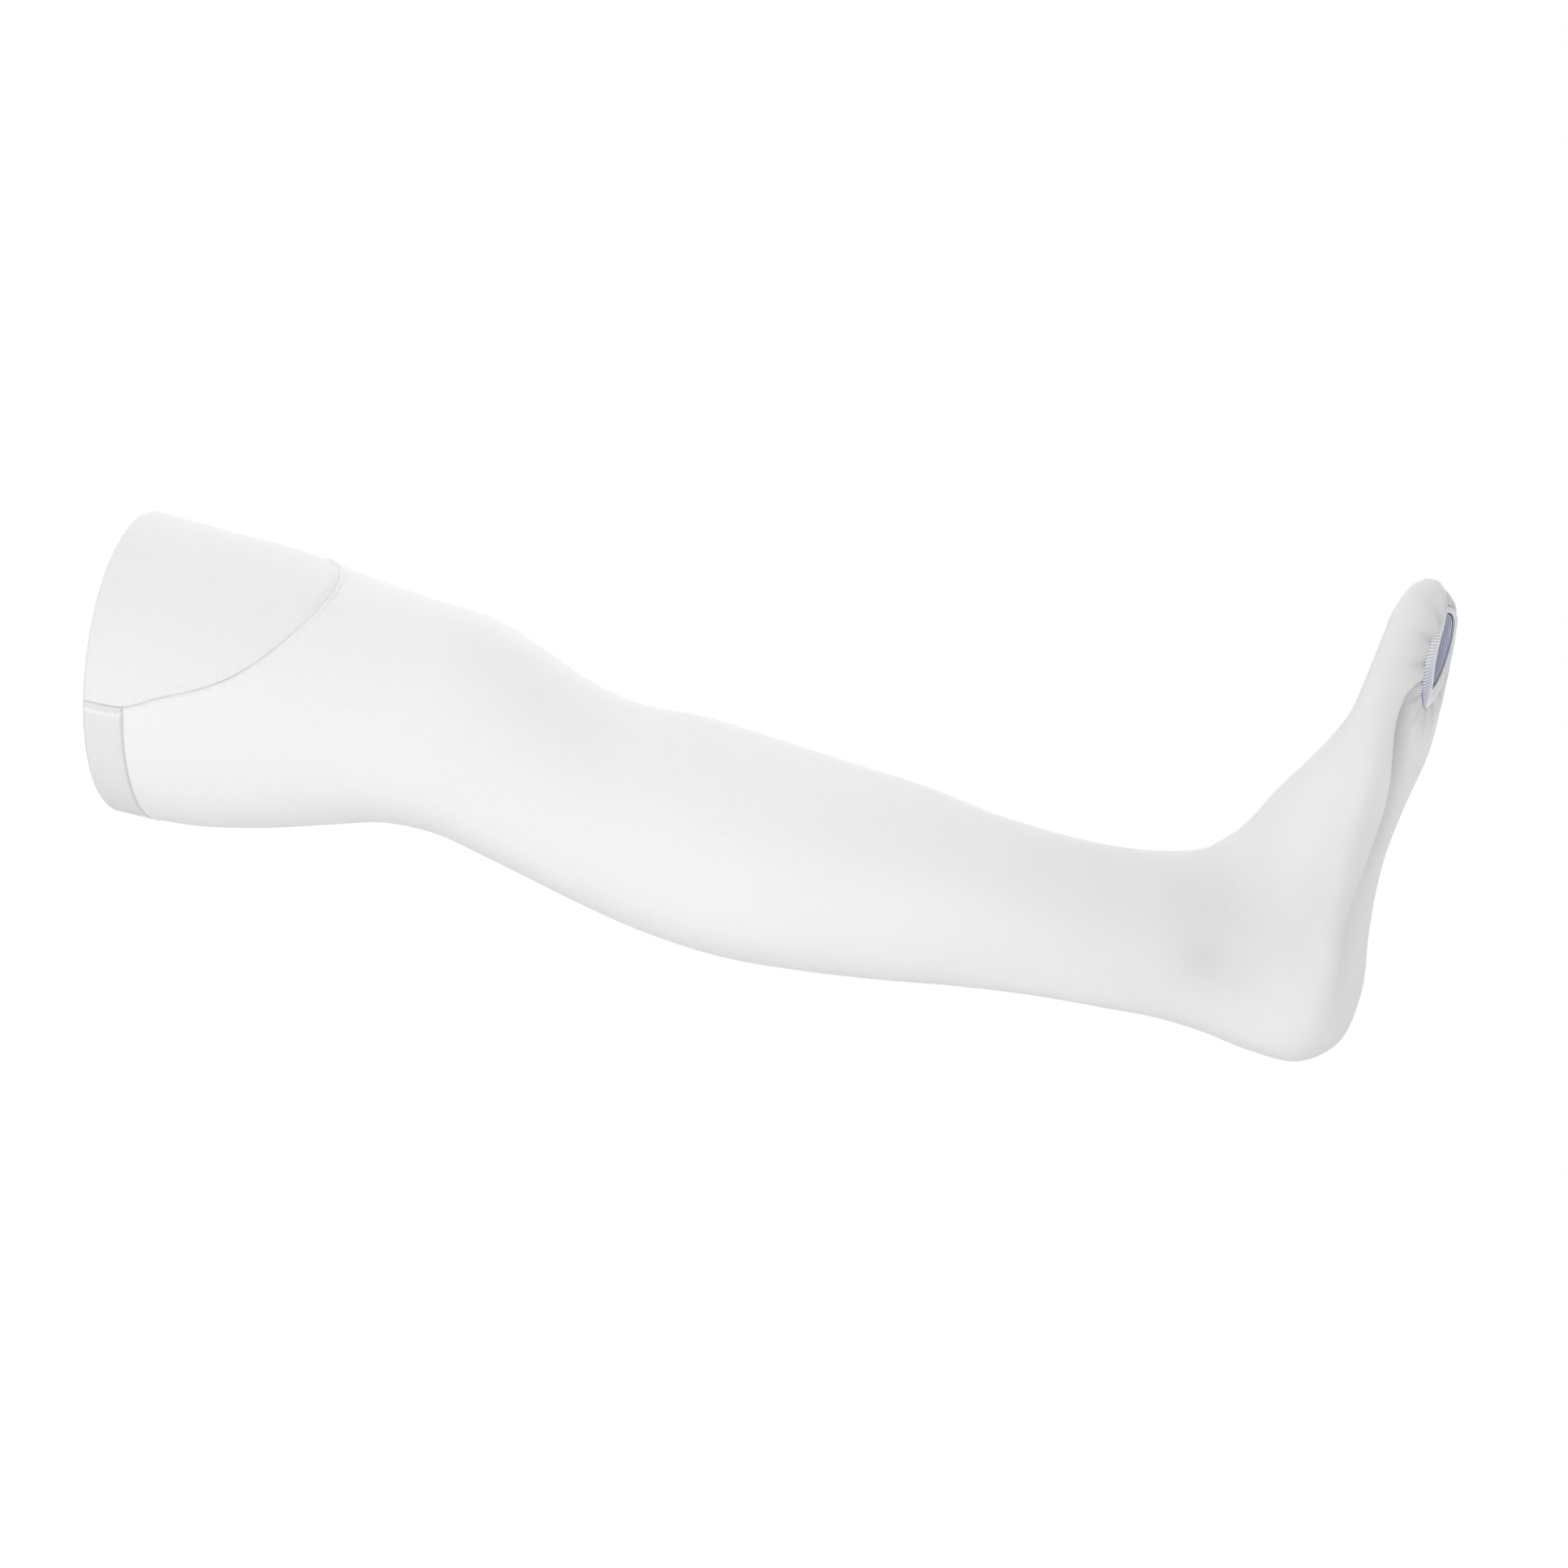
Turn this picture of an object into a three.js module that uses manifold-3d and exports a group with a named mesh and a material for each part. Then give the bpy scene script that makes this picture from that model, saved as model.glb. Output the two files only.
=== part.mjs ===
// Thigh-length anti-embolism stocking, in the form that it has when it is worn: a knitted tube with a heel
// and a closed toe, a gusset and a broken band at the thigh, and a hemmed inspection opening under the toes.
// Millimetres and degrees. The origin is the centre of the thigh opening, +X runs down the leg to the sole,
// +Z is the side of the kneecap and the toes, and -Y is the inner side, where the big toe is.
import * as THREE from "three";
import { mergeVertices } from "three/addons/utils/BufferGeometryUtils.js";
import Module from "manifold-3d";

// Cloth
const KNIT_WALL = 1.2;
const BAND_WALL = 1.8;
const HEM_WALL = 1.8;
const PROUD = 0.4; // how far the band and the hem stand out of the knit
const SEAM_GAP = 0.35; // between two pieces that are sewn together

// Thigh band and gusset: the gusset's tongue is centred on the front of the inner thigh
const BAND_WIDTH = 21;
const TONGUE_ANGLE = 39;
const TONGUE_TIP = 110;
const TONGUE = [
  // depth below the top edge, half of the tongue's width as an angle about the leg
  { depth: 0, half: 71 },
  { depth: 21, half: 70 },
  { depth: 40, half: 63.5 },
  { depth: 65, half: 56 },
  { depth: 80, half: 48.5 },
  { depth: 94, half: 36 },
  { depth: 103, half: 23 },
  { depth: 108, half: 11 },
  { depth: TONGUE_TIP, half: 0 },
];

// Inspection opening: an ellipse seen square to the sole, and its hem
const OPENING = { y: -1.5, z: 162, halfWidth: 18.5, halfLength: 20.5 };
const HEM = { y: -2.5, z: 159.6, halfWidth: 25, halfLength: 25.5 };
const OPENING_TOP = 640; // between the top of the foot and the sole, where the cut starts
const OPENING_DEPTH = 40;

// Cross-sections from the thigh opening to the toes. Each one lies in the plane through its front and back
// points, parallel to the Y axis. width is across, shift moves its centre towards +Y, boxFront and boxBack
// square its two halves, lean makes its back half wider than its front, ridge moves its front towards the
// inner side, and turn rolls it so that its back faces the inner side.
const COLUMNS = [
  "frontX", "frontZ", "backX", "backZ", "width", "shift", "boxFront", "boxBack", "lean", "ridge", "turn",
];
const SECTIONS = {
  mouth: [-8, 74.6, 11, -77.3, 152, 0, 0, 0, 0, 0, 0],
  gussetTop: [33, 74, 50, -75.3, 149, 0, 0, 0, 0, 0, 0],
  gussetMiddle: [75, 73.2, 87, -67.5, 143, 0, 0, 0, 0, 0, 0],
  gussetTip: [117, 68.7, 122, -57, 132, 0, 0.01, 0.01, 0, 0, 0],
  aboveKnee: [150, 66, 150, -49, 122, 0, 0.02, 0.02, 0, 0, 0],
  kneecap: [178, 64.8, 180, -47.8, 116, 0, 0.03, 0.03, 0, 0, 0],
  belowKneecap: [206, 56.5, 208, -52.5, 112, 0, 0.03, 0.03, 0.02, 0, 0],
  shinTop: [234, 46.6, 236, -58, 109, 0, 0.01, 0.03, 0.04, 1, 0],
  calfTop: [264, 41.2, 264, -63.5, 107, 0, -0.01, 0.02, 0.07, 2, 0],
  calfUpper: [300, 42.8, 300, -68.8, 108, 0, -0.02, 0.02, 0.09, 3, 0],
  calf: [340, 41, 340, -70.6, 107, 0, -0.02, 0.02, 0.09, 3, 0],
  calfLower: [380, 38.8, 380, -67.3, 101, 0, -0.02, 0.01, 0.08, 3, 0],
  shinMiddle: [420, 36.6, 420, -61.8, 90, 0, -0.02, 0, 0.05, 2, 0],
  shinLower: [460, 31.8, 460, -55, 77, 0, -0.01, -0.02, 0.02, 2, 0],
  ankleTop: [500, 30.5, 500, -49.7, 66, 0, 0, -0.04, -0.03, 1, 0],
  ankle: [532, 32.8, 536, -46.8, 66, 0, 0, -0.04, -0.05, 0, 0],
  ankleBones: [553, 37.3, 562, -45, 69, 0, 0, -0.03, -0.04, 0, 0],
  instep: [565, 42, 587, -46, 68, 0, 0, 0, 0, 0, 1],
  heelBack: [571, 47, 612, -49, 66, 0, 0, 0.02, 0.02, 1, 2],
  heelTurn: [575.5, 51.5, 636, -48, 64, 0, 0, 0.03, 0.03, 2, 3],
  heelBase: [579.5, 56, 652, -35, 64, 0, 0, 0.04, 0.04, 3, 4],
  heelFront: [584.5, 63, 656.5, -11, 64, 0, 0, 0.05, 0.05, 4, 4],
  archBack: [592.5, 76.5, 653, 20, 66, 0, 0, 0.05, 0.06, 6, 4],
  arch: [602.5, 90, 650, 55, 72, 0, 0, 0.06, 0.07, 8, 4],
  archFront: [614, 106, 651, 86, 80, 0, 0, 0.06, 0.08, 9, 4],
  ball: [623.5, 124, 655, 115, 90, 0, 0, 0.06, 0.08, 8, 4],
  toeRoots: [628, 143, 656, 140, 93, 0, 0.02, 0.06, 0.06, 6, 4],
  toes: [630.5, 160, 655.5, 160, 88, -1, 0.04, 0.06, 0.04, 3, 4],
  toePads: [632.5, 174, 655, 174, 77, -5, 0.05, 0.06, 0.02, 1, 4],
  toeEnds: [635, 184, 654.5, 185, 61, -9.5, 0.05, 0.05, 0, 0, 4],
  toeTips: [637.5, 190.5, 652.5, 191, 40, -14, 0.04, 0.04, 0, 0, 4],
  toeCap: [641, 194, 649, 194.2, 19, -17, 0.02, 0.02, 0, 0, 4],
};
const TOE_POLE = new THREE.Vector3(645, -18, 194.9);

// Rounded swellings and hollows on the sides: where, how far they spread down and across the leg, how high
const RELIEF = [
  { name: "inner ankle bone", x: 566, y: -36, z: 6, down: 20, across: 22, height: 1.5 },
  { name: "outer ankle bone", x: 571, y: 36, z: -8, down: 20, across: 20, height: 5 },
  { name: "hollow behind the inner bone", x: 596, y: -32, z: -15, down: 17, across: 17, height: -7 },
  { name: "hollow behind the outer bone", x: 572, y: 30, z: -31, down: 22, across: 12, height: -3.5 },
  { name: "arch of the sole", x: 650, y: -26, z: 50, down: 16, across: 40, height: -8 },
  { name: "inner calf", x: 335, y: -50, z: -25, down: 60, across: 40, height: 3 },
  { name: "inner edge of the heel", x: 647, y: -27, z: 8, down: 10, across: 22, height: 3.5 },
  { name: "inner edge of the arch", x: 646, y: -29, z: 48, down: 10, across: 26, height: 6.5 },
  { name: "inner edge of the instep", x: 648, y: -35, z: 88, down: 10, across: 26, height: 6.5 },
  { name: "outer edge of the ball", x: 654, y: 24, z: 150, down: 16, across: 32, height: -7 },
  { name: "tip of the sole", x: 653, y: -6, z: 188, down: 10, across: 14, height: -3 },
];

// Facets
const RING_COLUMNS = 36;
const TONGUE_COLUMNS = 16;
const TONGUE_RINGS = 12;
const TIP_ANGLE = 1; // half of the flat that ends the tongue
const BAND_COLUMNS = 28;
const BAND_RINGS = 2;
const LEG_RINGS = 20;
const FOOT_STEPS = 2; // rings for each section of the foot
const ELLIPSE_POINTS = 40;
const STEP = 0.05; // for slopes of the surface, in millimetres and degrees
const SAME_POINT = 1e-4; // corners closer than this are one

// The form of the worn stocking

const rows = Object.values(SECTIONS);
const names = Object.keys(SECTIONS);
const stations = [0]; // depths of the sections, along the line through their centres
for (let i = 1; i < rows.length; i += 1) {
  const [frontX, frontZ, backX, backZ] = rows[i].map((value, column) => value - rows[i - 1][column]);
  stations.push(stations[i - 1] + Math.hypot(frontX + backX, frontZ + backZ) / 2);
}
const stationOf = (name) => stations[names.indexOf(name)];
const sectionCurve = new THREE.CubicInterpolant(stations, rows.flat(), COLUMNS.length);
const tongueCurve = new THREE.CubicInterpolant(
  TONGUE.map((row) => row.depth),
  TONGUE.map((row) => row.half),
  1,
);

// The section at a depth below the top edge, as an object with the table's column names.
function sectionAt(depth) {
  const values = sectionCurve.evaluate(depth);
  return Object.fromEntries(COLUMNS.map((column, i) => [column, values[i]]));
}

// A point of the stocking's outside. The angle runs from the front over the inner side, the back and the
// outer side.
function pointAt(depth, angle) {
  const s = sectionAt(depth);
  const front = new THREE.Vector3(s.frontX - s.backX, 0, s.frontZ - s.backZ);
  const halfDepth = front.length() / 2;
  front.normalize();
  const ahead = new THREE.Vector3(0, 1, 0).cross(front);
  const inner = new THREE.Vector3(0, -1, 0).applyAxisAngle(ahead, THREE.MathUtils.degToRad(-s.turn));
  const top = inner.clone().cross(ahead);
  const a = THREE.MathUtils.degToRad(angle);
  const box = (s.boxFront + s.boxBack) / 2 + ((s.boxFront - s.boxBack) / 2) * Math.cos(a);
  const along = (Math.cos(a) - box * Math.cos(3 * a)) / (1 - box);
  const across = ((Math.sin(a) + box * Math.sin(3 * a)) / (1 - box)) * (1 - s.lean * Math.cos(a));
  const centre = new THREE.Vector3((s.frontX + s.backX) / 2, s.shift, (s.frontZ + s.backZ) / 2);
  const offset = new THREE.Vector3()
    .addScaledVector(top, halfDepth * along)
    .addScaledVector(inner, (s.width / 2) * across + (s.ridge * (1 + Math.cos(a))) / 2);
  const point = centre.add(offset);
  const outward = offset.normalize();
  let height = 0;
  for (const bump of RELIEF) {
    const down = (point.x - bump.x) / bump.down;
    const aside = Math.hypot(point.y - bump.y, point.z - bump.z) / bump.across;
    height += bump.height * Math.exp(-down * down - aside * aside);
  }
  return point.addScaledVector(outward, height);
}

// The direction out of the cloth at a point.
function outwardAt(depth, angle) {
  const down = pointAt(depth + STEP, angle).sub(pointAt(depth - STEP, angle));
  const round = pointAt(depth, angle + STEP).sub(pointAt(depth, angle - STEP));
  return round.cross(down).normalize();
}

function tongueHalfAngle(depth) {
  return Math.max(0, tongueCurve.evaluate(depth)[0]);
}

// Turns a length along the thigh's girth into an angle.
function girthAngle(length) {
  const thighRadius = SECTIONS.mouth[COLUMNS.indexOf("width")] / 2;
  return THREE.MathUtils.radToDeg(length / thighRadius);
}

// Walls of cloth

// A closed wall over the surface: rings at the depths, each one over the angles that spanAt gives, lifted
// out of the surface, and ending in an edge or in a pole that closes the toe.
function clothWall({ depths, spanAt, columns, thickness, lift = 0, pole = null }) {
  const triangles = [];
  const quad = (a, b, c, d) => triangles.push(a, b, c, a, c, d);
  const outer = [];
  const inner = [];
  const open = [];
  for (const depth of depths) {
    const [start, end] = spanAt(depth);
    open.push(end - start < 360);
    const angles = spread(start, end, columns);
    const points = angles.map((angle) => pointAt(depth, angle));
    const outward = angles.map((angle) => outwardAt(depth, angle));
    outer.push(points.map((point, j) => point.clone().addScaledVector(outward[j], lift)));
    inner.push(points.map((point, j) => point.clone().addScaledVector(outward[j], lift - thickness)));
  }
  const last = depths.length - 1;
  for (let i = 0; i < last; i += 1) {
    for (let j = 0; j < columns; j += 1) {
      quad(outer[i][j], outer[i][j + 1], outer[i + 1][j + 1], outer[i + 1][j]);
      quad(inner[i][j], inner[i + 1][j], inner[i + 1][j + 1], inner[i][j + 1]);
    }
    if (open[i]) {
      quad(outer[i][0], outer[i + 1][0], inner[i + 1][0], inner[i][0]);
      quad(outer[i][columns], inner[i][columns], inner[i + 1][columns], outer[i + 1][columns]);
    }
  }
  for (let j = 0; j < columns; j += 1) {
    quad(outer[0][j], inner[0][j], inner[0][j + 1], outer[0][j + 1]);
    if (pole) {
      const innerPole = pole.clone().setZ(pole.z - thickness);
      triangles.push(outer[last][j], outer[last][j + 1], pole);
      triangles.push(inner[last][j], innerPole, inner[last][j + 1]);
    } else {
      quad(outer[last][j], outer[last][j + 1], inner[last][j + 1], inner[last][j]);
    }
  }
  return mergeVertices(new THREE.BufferGeometry().setFromPoints(triangles), SAME_POINT);
}

// Even steps from one value to another, both included.
function spread(from, to, steps) {
  return Array.from({ length: steps + 1 }, (_, i) => from + ((to - from) * i) / steps);
}

// Depths of the rings beside the tongue, closer together where it rounds to its tip.
function tongueDepths(top, tip, steps) {
  return spread(0, 1, steps).map((t) => top + (tip - top) * Math.sin((t * Math.PI) / 2));
}

// Depths of the rings from a section of the foot to the end of the toes.
function footDepths(name) {
  const from = stations.slice(names.indexOf(name));
  const steps = from.slice(1).flatMap((station, i) => spread(from[i], station, FOOT_STEPS).slice(1));
  return [from[0], ...steps];
}

// Booleans

const wasm = await Module();
wasm.setup();

function toSolid(geometry) {
  const bare = new THREE.BufferGeometry();
  bare.setAttribute("position", geometry.getAttribute("position"));
  bare.setIndex(geometry.getIndex());
  const merged = mergeVertices(bare, SAME_POINT);
  const triVerts = new Uint32Array(merged.index.array);
  return new wasm.Manifold(
    new wasm.Mesh({ numProp: 3, vertProperties: merged.attributes.position.array, triVerts }),
  );
}

function toGeometry(solid) {
  const mesh = solid.getMesh();
  const geometry = new THREE.BufferGeometry();
  geometry.setAttribute("position", new THREE.BufferAttribute(mesh.vertProperties, 3));
  geometry.setIndex(new THREE.BufferAttribute(mesh.triVerts, 1));
  return geometry;
}

// An upright elliptical bar through the sole, to cut with.
function openingBar({ y, z, halfWidth, halfLength }, margin) {
  const outline = new THREE.Shape();
  outline.absellipse(0, 0, halfWidth + margin, halfLength + margin, 0, 2 * Math.PI);
  const bar = new THREE.ExtrudeGeometry(new THREE.Shape(outline.getSpacedPoints(ELLIPSE_POINTS)), {
    depth: OPENING_DEPTH,
    bevelEnabled: false,
  });
  bar.deleteAttribute("normal");
  bar.deleteAttribute("uv");
  const axes = new THREE.Matrix4().makeBasis(
    new THREE.Vector3(0, 1, 0),
    new THREE.Vector3(0, 0, 1),
    new THREE.Vector3(1, 0, 0),
  );
  bar.applyMatrix4(axes.setPosition(OPENING_TOP, y, z));
  return toSolid(bar);
}

// Pieces

function legKnit() {
  const top = BAND_WIDTH + SEAM_GAP;
  const depths = [
    ...tongueDepths(top, TONGUE_TIP, TONGUE_RINGS),
    ...spread(TONGUE_TIP, stationOf("ankleBones"), LEG_RINGS).slice(1),
    ...footDepths("ankleBones").slice(1),
  ];
  const spanAt = (depth) => {
    const half = depth >= TONGUE_TIP ? 0 : tongueHalfAngle(depth);
    return [TONGUE_ANGLE + half, TONGUE_ANGLE + 360 - half];
  };
  const tube = clothWall({ depths, spanAt, columns: RING_COLUMNS, thickness: KNIT_WALL, pole: TOE_POLE });
  return toGeometry(toSolid(tube).subtract(openingBar(HEM, SEAM_GAP)));
}

function thighGusset() {
  const tip = TONGUE_TIP - 2 * SEAM_GAP;
  const depths = [
    ...spread(0, BAND_WIDTH, BAND_RINGS),
    ...tongueDepths(BAND_WIDTH, tip, TONGUE_RINGS).slice(1),
  ];
  const spanAt = (depth) => {
    const half = Math.max(TIP_ANGLE, tongueHalfAngle(depth + SEAM_GAP) - girthAngle(SEAM_GAP));
    return [TONGUE_ANGLE - half, TONGUE_ANGLE + half];
  };
  return clothWall({ depths, spanAt, columns: TONGUE_COLUMNS, thickness: KNIT_WALL });
}

function thighBand() {
  const spanAt = (depth) => {
    const half = tongueHalfAngle(depth);
    return [TONGUE_ANGLE + half, TONGUE_ANGLE + 360 - half];
  };
  return clothWall({
    depths: spread(0, BAND_WIDTH, BAND_RINGS),
    spanAt,
    columns: BAND_COLUMNS,
    thickness: BAND_WALL,
    lift: PROUD,
  });
}

function toeHem() {
  const forefoot = clothWall({
    depths: footDepths("ball"),
    spanAt: () => [0, 360],
    columns: RING_COLUMNS,
    thickness: HEM_WALL,
    lift: PROUD,
    pole: TOE_POLE.clone().setZ(TOE_POLE.z + PROUD),
  });
  const ring = openingBar(HEM, 0).subtract(openingBar(OPENING, 0));
  return toGeometry(toSolid(forefoot).intersect(ring));
}

// Assembly

const knit = new THREE.MeshStandardMaterial({ color: 0xededec, roughness: 0.85, metalness: 0 });
const gusset = new THREE.MeshStandardMaterial({ color: 0xebebea, roughness: 0.8, metalness: 0 });
const band = new THREE.MeshStandardMaterial({ color: 0xe4e4e3, roughness: 0.8, metalness: 0 });
const hem = new THREE.MeshStandardMaterial({ color: 0xb9bac6, roughness: 0.85, metalness: 0 });

const stocking = new THREE.Group();
for (const [name, geometry, material] of [
  ["leg_knit", legKnit(), knit],
  ["thigh_gusset", thighGusset(), gusset],
  ["thigh_band", thighBand(), band],
  ["toe_hem", toeHem(), hem],
]) {
  const mesh = new THREE.Mesh(geometry, material);
  mesh.name = name;
  stocking.add(mesh);
}

export default stocking;
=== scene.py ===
"""Looks of a thigh-length anti-embolism stocking in its worn form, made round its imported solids."""
import math

import bpy
import numpy as np
from mathutils import Matrix, Vector


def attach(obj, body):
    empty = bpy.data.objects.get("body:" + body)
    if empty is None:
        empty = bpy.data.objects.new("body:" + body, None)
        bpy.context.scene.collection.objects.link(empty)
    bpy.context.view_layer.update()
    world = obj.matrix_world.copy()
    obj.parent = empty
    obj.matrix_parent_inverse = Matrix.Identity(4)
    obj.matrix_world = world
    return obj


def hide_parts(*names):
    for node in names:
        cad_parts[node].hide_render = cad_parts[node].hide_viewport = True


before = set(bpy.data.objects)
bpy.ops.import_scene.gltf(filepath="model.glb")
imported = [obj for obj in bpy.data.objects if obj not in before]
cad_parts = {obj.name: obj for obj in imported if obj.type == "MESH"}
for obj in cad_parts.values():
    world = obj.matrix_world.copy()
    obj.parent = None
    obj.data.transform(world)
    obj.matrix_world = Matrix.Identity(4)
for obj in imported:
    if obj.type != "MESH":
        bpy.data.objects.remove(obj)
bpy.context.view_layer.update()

# Sizes are in millimetres and degrees, in the frame of the solids: +X runs down the leg to the sole, +Z is
# the side of the kneecap and the toes, and -Y is the inner side.
MM = 0.001

# Cloth
KNIT_WALL = 1.2
BAND_WALL = 1.8
HEM_WALL = 1.8
PROUD = 0.4
SEAM_CLEARANCE = 0.08

# Thigh band and gusset
BAND_WIDTH = 21
THIGH_RADIUS = 76
TONGUE_ANGLE = 39
TONGUE_TIP = 110
TONGUE = [
    # depth below the top edge, half of the tongue's width as an angle about the leg
    (0, 71),
    (21, 70),
    (40, 63.5),
    (65, 56),
    (80, 48.5),
    (94, 36),
    (103, 23),
    (108, 11),
    (TONGUE_TIP, 0),
]

# Inspection opening and its hem: ellipses seen square to the sole
OPENING = {"y": -1.5, "z": 162, "half_width": 18.5, "half_length": 20.5}
HEM = {"y": -2.5, "z": 159.6, "half_width": 25, "half_length": 25.5}

# Cross-sections from the thigh opening to the toes. Front and back are the two ends of a section's depth,
# width and shift go across it, box makes its front or back squarer, lean widens its back, ridge moves its
# front to the inner side, and turn twists it.
COLUMNS = (
    "front_x", "front_z", "back_x", "back_z", "width", "shift",
    "box_front", "box_back", "lean", "ridge", "turn",
)
SECTIONS = {
    "mouth": (-8, 74.6, 11, -77.3, 152, 0, 0, 0, 0, 0, 0),
    "gusset_top": (33, 74, 50, -75.3, 149, 0, 0, 0, 0, 0, 0),
    "gusset_middle": (75, 73.2, 87, -67.5, 143, 0, 0, 0, 0, 0, 0),
    "gusset_tip": (117, 68.7, 122, -57, 132, 0, 0.01, 0.01, 0, 0, 0),
    "above_knee": (150, 66, 150, -49, 122, 0, 0.02, 0.02, 0, 0, 0),
    "kneecap": (178, 64.8, 180, -47.8, 116, 0, 0.03, 0.03, 0, 0, 0),
    "below_kneecap": (206, 56.5, 208, -52.5, 112, 0, 0.03, 0.03, 0.02, 0, 0),
    "shin_top": (234, 46.6, 236, -58, 109, 0, 0.01, 0.03, 0.04, 1, 0),
    "calf_top": (264, 41.2, 264, -63.5, 107, 0, -0.01, 0.02, 0.07, 2, 0),
    "calf_upper": (300, 42.8, 300, -68.8, 108, 0, -0.02, 0.02, 0.09, 3, 0),
    "calf": (340, 41, 340, -70.6, 107, 0, -0.02, 0.02, 0.09, 3, 0),
    "calf_lower": (380, 38.8, 380, -67.3, 101, 0, -0.02, 0.01, 0.08, 3, 0),
    "shin_middle": (420, 36.6, 420, -61.8, 90, 0, -0.02, 0, 0.05, 2, 0),
    "shin_lower": (460, 31.8, 460, -55, 77, 0, -0.01, -0.02, 0.02, 2, 0),
    "ankle_top": (500, 30.5, 500, -49.7, 66, 0, 0, -0.04, -0.03, 1, 0),
    "ankle": (532, 32.8, 536, -46.8, 66, 0, 0, -0.04, -0.05, 0, 0),
    "ankle_bones": (553, 37.3, 562, -45, 69, 0, 0, -0.03, -0.04, 0, 0),
    "instep": (565, 42, 587, -46, 68, 0, 0, 0, 0, 0, 1),
    "heel_back": (571, 47, 612, -49, 66, 0, 0, 0.02, 0.02, 1, 2),
    "heel_turn": (575.5, 51.5, 636, -48, 64, 0, 0, 0.03, 0.03, 2, 3),
    "heel_base": (579.5, 56, 652, -35, 64, 0, 0, 0.04, 0.04, 3, 4),
    "heel_front": (584.5, 63, 656.5, -11, 64, 0, 0, 0.05, 0.05, 4, 4),
    "arch_back": (592.5, 76.5, 653, 20, 66, 0, 0, 0.05, 0.06, 6, 4),
    "arch": (602.5, 90, 650, 55, 72, 0, 0, 0.06, 0.07, 8, 4),
    "arch_front": (614, 106, 651, 86, 80, 0, 0, 0.06, 0.08, 9, 4),
    "ball": (623.5, 124, 655, 115, 90, 0, 0, 0.06, 0.08, 8, 4),
    "toe_roots": (628, 143, 656, 140, 93, 0, 0.02, 0.06, 0.06, 6, 4),
    "toes": (630.5, 160, 655.5, 160, 88, -1, 0.04, 0.06, 0.04, 3, 4),
    "toe_pads": (632.5, 174, 655, 174, 77, -5, 0.05, 0.06, 0.02, 1, 4),
    "toe_ends": (635, 184, 654.5, 185, 61, -9.5, 0.05, 0.05, 0, 0, 4),
    "toe_tips": (637.5, 190.5, 652.5, 191, 40, -14, 0.04, 0.04, 0, 0, 4),
    "toe_cap": (641, 194, 649, 194.2, 19, -17, 0.02, 0.02, 0, 0, 4),
}
TOE_POLE = (645, -18, 194.9)
TOE_CAP = 6

# Rounded swellings and hollows: x, y, z, spread down the leg, spread across it, height
RELIEF = {
    "inner ankle bone": (566, -36, 6, 20, 22, 1.5),
    "outer ankle bone": (571, 36, -8, 20, 20, 5),
    "hollow behind the inner bone": (596, -32, -15, 17, 17, -7),
    "hollow behind the outer bone": (572, 30, -31, 22, 12, -3.5),
    "arch of the sole": (650, -26, 50, 16, 40, -8),
    "inner calf": (335, -50, -25, 60, 40, 3),
    "inner edge of the heel": (647, -27, 8, 10, 22, 3.5),
    "inner edge of the arch": (646, -29, 48, 10, 26, 6.5),
    "inner edge of the instep": (648, -35, 88, 10, 26, 6.5),
    "outer edge of the ball": (654, 24, 150, 16, 32, -7),
    "tip of the sole": (653, -6, 188, 10, 14, -3),
}

# Seams: the cloth's edges roll in at a seam, and rise to a low ridge beside it
SEAM_ROLL = 0.72
BAND_SEAM_ROLL = 0.95
SEAM_ROLL_REACH = 0.55
SEAM_RIDGE = 0.4
SEAM_RIDGE_PLACE = 1.7
SEAM_RIDGE_REACH = 0.9
GUSSET_RIDGE_SHARE = 0.4
BAND_RIDGE_SHARE = 0.5
PUCKER = 0.22
PUCKER_PITCH = 7
PUCKER_START = 1.2
PUCKER_REACH = 6
PUCKER_SWAY = 1.5
PUCKER_SWAY_LENGTH = 11
EDGE_ROLL = 0.7
EDGE_ROLL_REACH = 0.6

# Tip of the gusset: its seam lies flatter, with a second groove inside it, and its cloth rises
TIP_SEAM = 0.3
TIP_REACH = 45
TIP_FADE = 1.5
TIP_ROW_PLACE = 2.6
TIP_ROW_DEPTH = 0.3
TIP_ROW_REACH = 0.5
TIP_RISE = 1.8
TIP_RISE_START = 3
TIP_RISE_REACH = 24

# Ends of the band: a bound edge, a groove and a flat turning
BAND_END_GROOVES = (0, 2.2)
BAND_END_DEPTH = 0.65
BAND_END_REACH = 0.5
TURNING_START = 2.6
TURNING_END = 5.4
TURNING_RISE = 0.3
TURNING_BLEND = 0.5

# The relief of the sole fades in from the sides of the foot
SOLE_START = 636
SOLE_BLEND = 8

# Crease on the sole, where the hollow of the arch meets the part that bears weight
FOOTPRINT = [
    # y, z, depth
    (-19, -22, 1),
    (-20, -8, 3),
    (-20.5, 10, 5),
    (-15.5, 32, 6.5),
    (-3, 56, 7.2),
    (0, 69, 7.2),
    (-4, 81, 7.2),
    (-14, 95, 7.8),
    (-25, 109, 8.8),
    (-30.5, 120, 9.5),
    (-32, 130, 9.5),
    (-29, 138, 6),
]
FOOTPRINT_INNER_REACH = 5.5
FOOTPRINT_OUTER_REACH = 10
FOOTPRINT_HEM_REACH = 6

# Painted shade: the knit's colour is darkened round the ankle, along the sole's crease, and round the hem,
# most in the valleys between its folds
ANKLE_SHADE = 0.49
ANKLE_CENTRE = (598, -18, 3)
ANKLE_REACH = 46
ANKLE_REACH_UP = 95
CREASE_SHADE = 1
CREASE_DEEPEST = max(depth for _, _, depth in FOOTPRINT)
CREASE_SHADE_START = 30
CREASE_SHADE_RAMP = 75
GATHER_SHADE = 1
GATHER_SHADE_LEAST = 0.5
GATHER_SHADE_REACH = 12

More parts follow.
